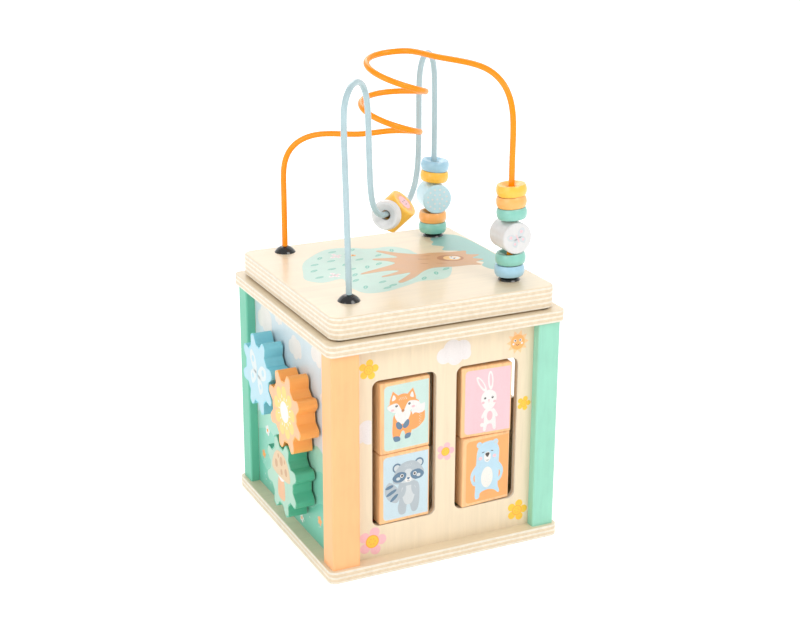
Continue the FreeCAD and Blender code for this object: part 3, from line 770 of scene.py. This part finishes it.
def block_page(animal, colour, back=False):
    """A page on a block's front or back, with its label, centred on the block's rod."""
    pivot = JOINTS["picture_" + animal + "_turn"]["pos_m"]
    low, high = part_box("block_" + animal)
    turn = math.radians(BLOCK_TURNS[animal])
    u = Vector((math.cos(turn), math.sin(turn), 0))
    outward = Vector((math.sin(turn), -math.cos(turn), 0))
    if back:
        u, outward = -u, -outward
    place = Vector((pivot[0], pivot[1], (low.z + high.z) / 2)) + outward * (BLOCK_HALF * MM)
    name = "block_" + animal + ("_back_label" if back else "_label")
    page = Print(name, place, u, (0, 0, 1), "picture_" + animal, "picture_block_wood")
    page.add(colour, moved(label_outline(), flip=back))
    return page


FOX_MIDDLE = -1.7


def print_fox():
    page = block_page("fox", "mint_label")
    page.curve("fox", [(3.4, -8.6), (7.6, -9.0), (12.2, -5.6), (12.9, -1.6), (11.8, 1.4), (4.2, 1.6)], 2)
    page.curve("white", [(4.2, -0.2), (6.4, 0.6), (9, -0.2), (12.2, 0.6), (12.9, 5.4), (10.2, 5.2),
                         (8.6, 7), (5, 6)], 3)
    page.curve("fox", [(-6.6, 2), (-8.3, -4.4), (-8, -12.2), (-4.6, -13.8), (-2.4, -9.4), (-0.8, -9.4),
                       (0.8, -13.2), (3.6, -11.6), (4.8, -4.4), (3.2, 2.2)], 4)
    page.curve("slate", [(-7.7, -11.8), (-4, -12.2), (-3.5, -14.8), (-7, -14.8)], 5, 4)
    page.curve("slate", [(3.5, -11.2), (0.2, -11.4), (-0.2, -14.2), (3, -13.8)], 5, 4)
    page.curve("white", [(-6.4, 2.4), (2.8, 2.4), (2, -2.2), (-1.7, -4.8), (-5.6, -2.2)], 5)
    page.curve("slate", [(-6.2, -4), (-4.6, -3), (-1.9, -6), (-3, -8), (-5.4, -7)], 6, 4)
    page.curve("slate", [(2.6, -3.6), (1.2, -2.6), (-1.7, -5.8), (-0.4, -7.8), (2, -6.6)], 6, 4)
    ear = smooth([(2.2, 11.6), (5.6, 15.2), (6.4, 16.0), (7.0, 14.8), (8.6, 9.4), (5.6, 8.4)], 3)
    inner_ear = smooth([(4.6, 11.4), (6.1, 14.0), (7.1, 10.4)], 3)
    cheek = smooth([(10.2, 7.0), (7.0, 8.4), (3.6, 8.2), (1.2, 4.4), (0.4, 2.0), (4.4, 2.6), (8.4, 4.4)])
    page.both("fox", ear, 6, FOX_MIDDLE)
    page.both("white", inner_ear, 8, FOX_MIDDLE)
    page.curve("fox", [(-11.4, 6.8), (-10, 8.8), (-7.4, 11.4), (-4.4, 13.1), (-1.7, 13.6), (1, 13.1),
                       (4, 11.4), (7, 8.8), (8.6, 7.0), (3, 4.2), (-1.7, 2.2), (-6.2, 4)], 7)
    page.both("white", cheek, 8, FOX_MIDDLE)
    page.both("ink", ellipse(4.2, 6.9, 0.8, 0.75), 9, FOX_MIDDLE)
    page.both("white", ellipse(4.2, 7.2, 0.26, count=10), 10, FOX_MIDDLE - 0.2)
    page.both("pink", ellipse(6.8, 4.7, 1.1, 0.7), 9, FOX_MIDDLE)
    page.add("trunk_dark", ellipse(FOX_MIDDLE, 3.4, 1.0, 0.8), 10)
    for k in range(9):
        page.add("cream", ellipse(-4.1 + 0.6 * k, 10.4 + (0.9 if k % 2 else 0), 0.16, 0.42, 0, 8), 8)
        page.add("cream", ellipse(9.4 + 0.8 * (k % 2), -7 + 0.8 * k, 0.14, 0.36, 20, 8), 3)
    page.build()


RACCOON_MIDDLE = 2.3


def print_raccoon():
    page = block_page("raccoon", "blue_label")
    page.curve("slate_mid", [(-9.6, 3.8), (-12.6, 0.6), (-12.4, -4), (-9.4, -8.2), (-5, -9.8),
                             (-3.2, -6), (-4.4, -1)], 2)
    for x, y, reach, turn in ((-9.9, 0.8, 2.7, 16), (-8.6, -2.9, 3.7, 26), (-6.8, -6.4, 3.2, 40)):
        page.add("slate", ellipse(x, y, reach, 1.05, turn, 20), 3)
    page.curve("slate_mid", [(-3.4, 1.6), (-3.4, -8), (-4.4, -13.6), (-3, -17.6), (0.4, -17.4),
                             (1.4, -12.4), (3.4, -12.4), (5, -17.2), (8.4, -16.4), (9.7, -8), (8, 1.4)], 4)
    page.curve("slate_light", [(-1.2, -0.8), (6.2, -0.8), (6.8, -5.4), (4.6, -11.6), (0.4, -11.6),
                               (-1.8, -5.4)], 5)
    page.both("slate_mid", ellipse(3.2, -3.4, 1.3, 3.6, 14), 6, 2.6)
    for x, y in ((-5.0, 12.0), (9.4, 13.0)):
        page.add("slate", ellipse(x, y, 2.9), 5)
        page.add("slate_light", ellipse(x, y - 0.1, 2.0), 6)
    page.curve("slate_mid", [(-7.6, 3.2), (-6.4, 9), (-3, 13.4), (2.3, 15.1), (7.6, 14), (11, 10.2),
                             (12.4, 6), (7.6, 2.8), (2.3, 1.6), (-3, 1.6)], 7)
    page.curve("slate_light", [(0.3, 9.6), (4.3, 9.6), (4.4, 4.6), (7, 3), (2.3, 1.8), (-2.4, 2.4),
                               (0.2, 4.4)], 8)
    mask = smooth([(1.4, 7.6), (4.0, 9.0), (7.4, 8.8), (10.2, 6.0), (8.6, 3.4), (4.6, 2.9), (2.0, 4.6)])
    page.both("slate", mask, 9, RACCOON_MIDDLE)
    page.both("white", ellipse(4.2, 6.6, 1.15), 10, RACCOON_MIDDLE)
    page.both("ink", ellipse(4.1, 6.6, 0.7), 11, RACCOON_MIDDLE)
    page.both("slate_light", ellipse(6.6, 5.2, 1.3, 1.0), 10, RACCOON_MIDDLE)
    page.add("white", ellipse(RACCOON_MIDDLE, 3.6, 2.2, 1.7), 9)
    page.curve("slate", [(1.3, 4.8), (3.3, 4.8), (2.3, 3.4)], 10, 4)
    page.add("ink", smile(RACCOON_MIDDLE, 2.8, 0.9, 0.25), 10)
    for k in range(8):
        page.add("slate_light", ellipse(0.2 + 0.6 * k, 12.0 + (0.9 if k % 2 else 0), 0.15, 0.42, 0, 8), 8)
    page.build()


RABBIT_MIDDLE = 1.5


def print_rabbit():
    page = block_page("rabbit", "pink_label")
    for x, y, turn in ((-3.4, 10.6, 32), (2.4, 12.4, 3)):
        page.add("white", ellipse(x, y, 1.75, 5.9, turn), 4)
        page.add("pink_label", ellipse(x, y + 0.3, 0.85, 4.0, turn), 5)
    page.curve("white", [(-0.8, -6), (-1.4, -11), (-1.6, -14.4), (-1.9, -18.6), (-0.2, -18.8), (0.8, -15.2),
                         (3.6, -15.2), (4.6, -18.4), (6.3, -18.4), (6.2, -13.6), (5.9, -10.4), (5, -6)], 3)
    arm = smooth([(2, -5.4), (3.4, -6.2), (5.3, -9.8), (4.4, -11), (2.6, -8.6)], 4)
    page.both("white", arm, 4, 2.1)
    page.add("white", ellipse(-2.6, -15.0, 1.3), 2)
    page.add("pink", ellipse(2.2, -9.8, 1.8, 3.0), 5)
    page.curve("white", [(-3.4, 0), (-2.6, 4.4), (1.5, 6.6), (5.6, 4.4), (6.4, 0), (4.6, -4.4),
                         (1.5, -5.8), (-1.6, -4.4)], 5)
    page.both("ink", ellipse(2.4, 1.6, 0.7), 6, RABBIT_MIDDLE - 0.1)
    page.both("white", ellipse(2.4, 1.9, 0.24, count=10), 7, RABBIT_MIDDLE - 0.3)
    page.both("pink", ellipse(3.7, -1.1, 0.95, 0.75), 6, RABBIT_MIDDLE)
    page.add("pink", ellipse(RABBIT_MIDDLE, 0.1, 0.6, 0.45), 6)
    page.add("pink", smile(RABBIT_MIDDLE, -0.9, 0.8, 0.22), 6)
    page.build()


BEAR_MIDDLE = 0.7
FUR_TURN = 2.4  # radians


def print_bear():
    page = block_page("bear", "orange_label")
    page.curve("bear", [(-6.4, 12), (-7, 5), (-7.8, -3), (-7.4, -11), (-7.6, -16), (-6.8, -18.2),
                        (-4.6, -17.6), (-3.8, -14.6), (1, -13.4), (5.6, -14.4), (8.9, -17), (9.6, -15.4),
                        (8.4, -11.6), (9, -4), (8.8, 4), (8.8, 12), (5.4, 17), (1, 17.8), (-4, 16.6)], 3)
    arm = smooth([(7.4, 3.6), (10.6, 0), (11.4, -4), (9.8, -8.4), (7.2, -9.6), (6.6, -7.6), (9.0, -6.2),
                  (9.2, -3), (7, -0.6)])
    page.both("bear", arm, 2, BEAR_MIDDLE - 0.1)
    page.both("bear", ellipse(5.6, 16.4, 1.9), 4, BEAR_MIDDLE - 0.1)
    page.both("slate_light", ellipse(5.6, 16.3, 0.9), 5, BEAR_MIDDLE - 0.1)
    page.both("ink", ellipse(3.1, 11.2, 1.0, 0.22, -14, 14), 7, BEAR_MIDDLE + 0.1)
    page.both("pink_label", ellipse(4.9, 7.6, 1.25, 1.1), 6, BEAR_MIDDLE + 0.1)
    page.add("cream", ellipse(BEAR_MIDDLE, -5.3, 4.1, 6.7), 4)
    page.add("white", ellipse(BEAR_MIDDLE, 7.8, 2.4, 3.4), 6)
    page.curve("ink", [(-0.8, 9.9), (0.7, 10.6), (2.2, 9.9), (0.7, 7.7)], 7, 4)
    page.add("ink", smile(BEAR_MIDDLE, 5.8, 0.9, 0.25), 7)
    for k in range(24):
        a = FUR_TURN * k
        r = 0.75 * math.sqrt(k)
        x, y = BEAR_MIDDLE + r * math.cos(a), -5.3 + 1.6 * r * math.sin(a)
        page.add("bear", ellipse(x, y, 0.16, count=8), 5)
    page.build()


def print_block_backs():
    """The far side of each block, which the picture doesn't show: a plain flower on the same label."""
    for animal, label, petal in (("fox", "mint_label", "fox"), ("raccoon", "blue_label", "slate"),
                                 ("rabbit", "pink_label", "white"), ("bear", "orange_label", "bear")):
        page = block_page(animal, label, back=True)
        flower_motif(page, 0, 4, 9.0, petal, 2)
        page.curve("leaf", [(-0.6, -6), (0.6, -6), (0.5, -16), (-0.5, -16)], 2, 4)
        page.both("leaf", smooth([(0.4, -13), (4.6, -9.2), (7.0, -10.6), (3.6, -13.8)], 5), 3)
        page.build()


# ---- lid: a tree lying along +X
def print_lid():
    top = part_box("lid_board")[1].z
    page = Print("lid_print", (0, 0, top), (1, 0, 0), (0, 1, 0), "lid", "birch_ply")
    tree(page)
    owl(page, 40.4, 3.0)
    spots = random.Random(SEED)
    places = [(-46, 14), (-41, 25), (-33, 36), (-21, 45), (-8, 44), (2, 27), (-29, 28), (-14, 38),
              (-35, 13), (-24, 18), (-12, 24), (-48, 1), (-31, -13), (-31, -27), (-20, -33), (-18, -22),
              (7, -26), (18, -20), (-27, -3), (-5, 11), (14, 33), (-38, 2), (-14, 8), (27, -15),
              (-15, -30), (-24, 8)]
    for u, v in places:
        leaf_motif(page, u, v, 3.1, spots.uniform(10, 70))
    for u, v in ((-22, 36), (-38, 1)):
        butterfly_motif(page, u, v, 4.6, "cloud_white", "pink", turn=60, layer=3)
    bee(page, -12.6, 33.6)
    page.build()


def tree(page):
    """The crown, the grass, the trunk with its boughs, the marks on it and the hollow."""
    page.curve("crown", [(-53, 14), (-47, 29), (-39, 39), (-23, 51), (-9, 50), (3, 42), (17, 41), (24, 31),
                         (25, 21), (28, 5), (33, -6), (30, -17), (19, -31), (3, -30), (-8, -34), (-24, -39),
                         (-36, -36), (-39, -20), (-37, -7), (-50, -9), (-57, 0)], 1)
    page.curve("grass", [(47, 45), (56, 52), (66, 46), (68.6, 30), (68.6, 4), (67, -20), (60, -30), (52, -27),
                         (50, -18), (54, -12), (49, -6), (53, 2), (48, 8), (51, 15), (43, 20), (47, 27),
                         (42, 33), (46, 39)], 2)
    page.curve("trunk", [(55, 13.5), (45, 14.5), (34, 18), (25, 19), (15, 27), (7, 36), (4.5, 34.5),
                         (8.5, 26), (11, 18.5), (3.5, 20), (-3.5, 21.5), (-4.5, 19), (2, 14), (4, 7.5),
                         (-8, 3), (-21.5, -1.5), (-22, -4), (-8, -3.5), (0, -6.5), (-7, -10), (-13.5, -12),
                         (-13, -14), (-3, -13), (4.5, -13), (-3, -20), (-9.5, -25.5), (-8, -28), (3, -22),
                         (13, -13.5), (22, -10), (34, -13), (44, -14), (51, -16), (50, -10), (57, -7),
                         (52, -2), (59, 2.5), (52.5, 6.5)], 3, 4)
    for u, v, length, turn in ((24, 8, 8, -20), (30, -4, 7, -22), (20, 0, 5, -25), (28, 14, 6, -10)):
        page.add("trunk_dark", ellipse(u, v, length / 2, 0.35, turn, 14), 4)
    page.add("trunk_dark", ellipse(39.5, 3.4, 8.2, 6.2, -25), 5)


def leaf_motif(page, x, y, size, turn):
    blade = smooth([(-1, 0), (-0.2, 0.42), (0.7, 0.34), (1, 0), (0.6, -0.36), (-0.3, -0.4)], 4)
    vein = ellipse(0, 0, 0.8, 0.06, 0, 12)
    page.add("leaf", moved(blade, x, y, size, turn), 2)
    page.add("crown", moved(vein, x, y, size, turn), 3)


def owl(page, x, y):
    page.add("owl", ellipse(x, y, 5.4, 4.6, -25), 6)
    page.add("cream", ellipse(x + 1.6, y - 0.6, 3.2, 3.0), 7)
    for side in (-1, 1):
        page.add("white", ellipse(x + 0.6, y + side * 1.9, 1.4), 8)
        page.add("ink", ellipse(x + 0.6, y + side * 1.9, 0.6), 9)
    page.curve("amber", [(x + 1.4, y - 0.6), (x + 1.4, y + 0.6), (x + 2.8, y)], 9, 4)


def bee(page, x, y):
    page.add("cloud_white", ellipse(x - 1.4, y + 1.6, 1.8, 1.2, 40), 3)
    page.add("amber", ellipse(x, y, 2.4, 1.6, -20), 4)
    for step in (-0.8, 0.5):
        page.add("ink", ellipse(x + step, y - step * 0.35, 0.28, 1.4, -20, 14), 5)


# ---- bead discs
DRUM_HALF = 8.75
DRUM_C_TURN = -11.0
DRUM_DOT = 0.62
FAR_SIDE = 0.3


def disc_page(node, slot, direction):
    """A page on the round end of a drum bead that looks along direction."""
    up = Vector((0, 0, 1))
    out = Vector(direction).normalized()
    joint = JOINTS["spin_" + node]
    v = (up - out * up.dot(out)).normalized()
    u = v.cross(out)
    place = Vector(joint["pos_m"]) + out * (DRUM_HALF * MM)
    name = node + ("_far" if out.y > FAR_SIDE else "") + "_print"
    return Print(name, place, u, v, joint["child"], slot)


def print_butterfly_drum(side):
    page = disc_page("drum_d3_butterfly", "bead_white_paint", (0, side, 0))
    butterfly_motif(page, 0, 0, 6.4, "slate_light", "pink_label", turn=25)
    page.build()


def print_dotted_drum(side):
    turned = math.radians(DRUM_C_TURN)
    across = (-side * math.sin(turned), side * math.cos(turned), 0)
    page = disc_page("drum_c3_dotted", "bead_pale_blue_paint", across)
    for count, reach, start in ((6, 3.2, 0), (12, 6.3, 15), (1, 0, 0)):
        for x, y in round_places(count, reach, start):
            page.add("white", ellipse(x, y, DRUM_DOT, count=14))
    page.build()


def print_yellow_drum():
    """A face on the end that looks up and to the front."""
    wire_direction = Vector(JOINTS["spin_drum_v2_yellow"]["axis"])
    side = wire_direction.cross(Vector((0, 0, 1))).normalized()
    over = side.cross(wire_direction)
    page = disc_page("drum_v2_yellow", "bead_yellow_paint", side + over)
    page.add("orange_label", flower(0, 0, 6.8, 10, 90, 0.2))
    page.add("pink_label", ellipse(0, 0, 4.6), 2)
    page.both("ink", ellipse(1.5, 0.8, 0.45), 3)
    page.add("ink", smile(0, -1.2, 1.4, 0.3), 3)
    page.build()


# ---- sorting panel and clock (not seen in the picture)
def grown(points, width):
    """An outline scaled about its centre, so that its farthest point moves out by width."""
    cu = sum(p[0] for p in points) / len(points)
    cv = sum(p[1] for p in points) / len(points)
    reach = max(math.dist(p, (cu, cv)) for p in points)
    scale = 1 + width / reach
    return [(cu + (a - cu) * scale, cv + (b - cv) * scale) for a, b in points]


def band(page, colour, inner, width):
    """A closed band of that width round an outline, as short closed pieces."""
    outer = grown(inner, width)
    for i in range(len(inner)):
        j = (i + 1) % len(inner)
        page.add(colour, [inner[i], outer[i], outer[j], inner[j]])


def print_sorter_panel():
    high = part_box("sorter_panel")[1]
    page = Print("sorter_panel_print", (high.x, 0, 0), (0, 1, 0), (0, 0, 1), "case", "birch_ply")
    holes = (
        ("deep_blue", ellipse(-29, 93, 17.6, count=48), 1.9),
        ("yellow", moved(round_places(4, 22.8, 45), 15, 93), 2.9),
        ("red", moved(round_places(3, 24.4, 90), -8, 41), 4.2),
        ("gear_green", moved(round_places(6, 19.2), 35, 41), 2.2),
    )
    for colour, outline, width in holes:
        band(page, colour, outline, width)
    for u, v, radius, petal in ((-48, 44, 6, "pink"), (-51, 124, 5, "yellow"), (48, 112, 5, "pink"),
                                (-46, 16, 5, "yellow"), (50, 72, 5, "yellow")):
        flower_motif(page, u, v, radius, petal)
    page.add("cloud_white", cloud(6, 125, 10))
    page.add("cloud_white", cloud(-24, 68, 6))
    page.build()


CLOCK_RIM = 52
CLOCK_FACE = 48.5
CLOCK_MARKS = 45.6
CLOCK_NUMBERS = 36.5
NUMBER_SIZE = 10.5
NUMBER_THICK = 0.09


def print_clock():
    centre = JOINTS["hour_hand_turn"]["pos_m"][2]
    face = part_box("back_panel")[1].y
    page = Print("clock_print", (0, face, centre), (-1, 0, 0), (0, 0, 1), "case", "birch_ply")
    page.add("sky", ellipse(0, 0, CLOCK_RIM, count=96))
    page.add("clock_face", ellipse(0, 0, CLOCK_FACE, count=96), 2)
    for k in range(60):
        wide, tall = (0.9, 1.9) if k % 5 == 0 else (0.4, 1.1)
        page.add("slate", moved(ellipse(0, CLOCK_MARKS, wide, tall, 0, 14), turn=-6 * k), 3)
    for u, v in ((-50, 56), (50, 56), (-50, -56), (50, -56)):
        flower_motif(page, u, v, 5.4, "pink")
    page.build()
    for k in range(1, 13):
        a = math.radians(30 * k)
        u, v = CLOCK_NUMBERS * math.sin(a), CLOCK_NUMBERS * math.cos(a)
        numeral(str(k), page, u, v)


def numeral(text, page, u, v):
    """A number on the clock's face, as a mesh of its own."""
    name = "clock_number_" + text
    curve = bpy.data.curves.new(name, "FONT")
    curve.body = text
    curve.size = NUMBER_SIZE * MM
    curve.extrude = NUMBER_THICK * MM
    curve.align_x = "CENTER"
    curve.align_y = "CENTER"
    curve.resolution_u = 6
    holder = new_object(name + "_curve", curve)
    place = (page.origin + page.u * u + page.v * v + page.n * (PRINT_STEP * 2)) * MM
    turn = Matrix((page.u, page.v, page.n)).transposed().to_4x4()
    holder.matrix_world = Matrix.Translation(place) @ turn
    bpy.context.view_layer.update()
    evaluated = holder.evaluated_get(bpy.context.evaluated_depsgraph_get())
    data = bpy.data.meshes.new_from_object(evaluated)
    data.transform(holder.matrix_world)
    data.materials.clear()
    data.materials.append(ink_material("slate"))
    bpy.data.objects.remove(holder)
    bpy.data.curves.remove(curve)
    piece = new_object(name, data)
    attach(piece, "case")


print_front_panel()
print_gear_panel()
print_gear_blue()
print_gear_orange()
print_gear_green()
print_fox()
print_raccoon()
print_rabbit()
print_bear()
print_block_backs()
print_lid()
for drum_end in (-1, 1):
    print_butterfly_drum(drum_end)
    print_dotted_drum(drum_end)
print_yellow_drum()
print_sorter_panel()
print_clock()


# ---- floor, light and camera
FLOOR_DROP = 0.2 * MM
FLOOR_SIDE = 30.0
FLOOR_WALL = 7.0
FLOOR_FLAT = 1.6
FLOOR_BEND = 1.2
FLOOR_STEPS = 24
FLOOR_GLOW = 0.32
WORLD_GLOW = 0.66
LIT_PLACE = (0, 0, 0.12)
CAMERA_PLACE = (-0.38191, -0.79940, 0.43554)
CAMERA_AZIMUTH = -25.769
CAMERA_ELEVATION = 19.134
CAMERA_ROLL = 0.252
CAMERA_LENS = 69.94
CAMERA_SENSOR = 36.0


def build_floor():
    """A sheet that lies flat round the toy and curves up behind it, so there is no horizon."""
    data = bpy.data.meshes.new("floor")
    work = bmesh.new()
    rows = []
    for k in range(FLOOR_STEPS + 1):
        a = math.pi / 2 * k / FLOOR_STEPS
        rows.append((FLOOR_FLAT + FLOOR_BEND * math.sin(a), FLOOR_BEND * (1 - math.cos(a))))
    rows = [(-FLOOR_SIDE, 0.0)] + rows + [(FLOOR_FLAT + FLOOR_BEND, FLOOR_WALL)]
    corners = [[work.verts.new((x, y, z)) for x in (-FLOOR_SIDE, FLOOR_SIDE)] for y, z in rows]
    for near, far in zip(corners, corners[1:]):
        face = work.faces.new((near[0], near[1], far[1], far[0]))
        face.smooth = True
    work.to_mesh(data)
    work.free()
    n = Nodes("floor_paper")
    mottle = n.noise(30, EVEN, 3)
    tint = n.ramp(mottle, [(0.3, (0.97, 0.97, 0.97, 1)), (0.7, (0.985, 0.985, 0.985, 1))])
    n.bump(mottle, 0.02, 0.001)
    n.put(n.shader.inputs["Emission Color"], tint)
    n.shader.inputs["Emission Strength"].default_value = FLOOR_GLOW
    data.materials.append(n.finish(tint, 0.9, specular=0.1))
    floor = new_object("floor", data)
    floor.location.z = -FLOOR_DROP
    floor.rotation_euler.z = math.radians(CAMERA_AZIMUTH)


def area_light(name, place, size, power, tint):
    """A round lamp that shines on the middle of the toy."""
    lamp = bpy.data.lights.new(name, "AREA")
    lamp.shape = "DISK"
    lamp.size = size
    lamp.energy = power
    lamp.color = tint
    holder = new_object(name, lamp)
    holder.location = place
    holder.rotation_euler = (Vector(LIT_PLACE) - Vector(place)).to_track_quat("-Z", "Y").to_euler()


def build_light():
    area_light("key", (0.5, -1.1, 1.3), 0.9, 8.2, (1.0, 0.985, 0.965))
    area_light("fill", (-1.4, -0.7, 0.8), 1.2, 8, (0.97, 0.985, 1.0))
    area_light("back", (0.3, 1.2, 1.2), 0.9, 5, (1, 1, 1))
    world = bpy.data.worlds.new("studio")
    world.use_nodes = True
    background = world.node_tree.nodes["Background"]
    background.inputs["Color"].default_value = (1, 1, 1, 1)
    background.inputs["Strength"].default_value = WORLD_GLOW
    bpy.context.scene.world = world
    bpy.context.scene.view_settings.view_transform = "Standard"


def build_camera():
    data = bpy.data.cameras.new("camera")
    data.lens = CAMERA_LENS
    data.sensor_width = CAMERA_SENSOR
    data.clip_start = 0.01
    camera = new_object("camera", data)
    turn = Matrix.Rotation(math.radians(CAMERA_AZIMUTH), 4, "Z")
    tilt = Matrix.Rotation(math.radians(90 - CAMERA_ELEVATION), 4, "X")
    roll = Matrix.Rotation(math.radians(CAMERA_ROLL), 4, "Z")
    camera.matrix_world = Matrix.Translation(CAMERA_PLACE) @ turn @ tilt @ roll
    bpy.context.scene.camera = camera


build_floor()
build_light()
build_camera()
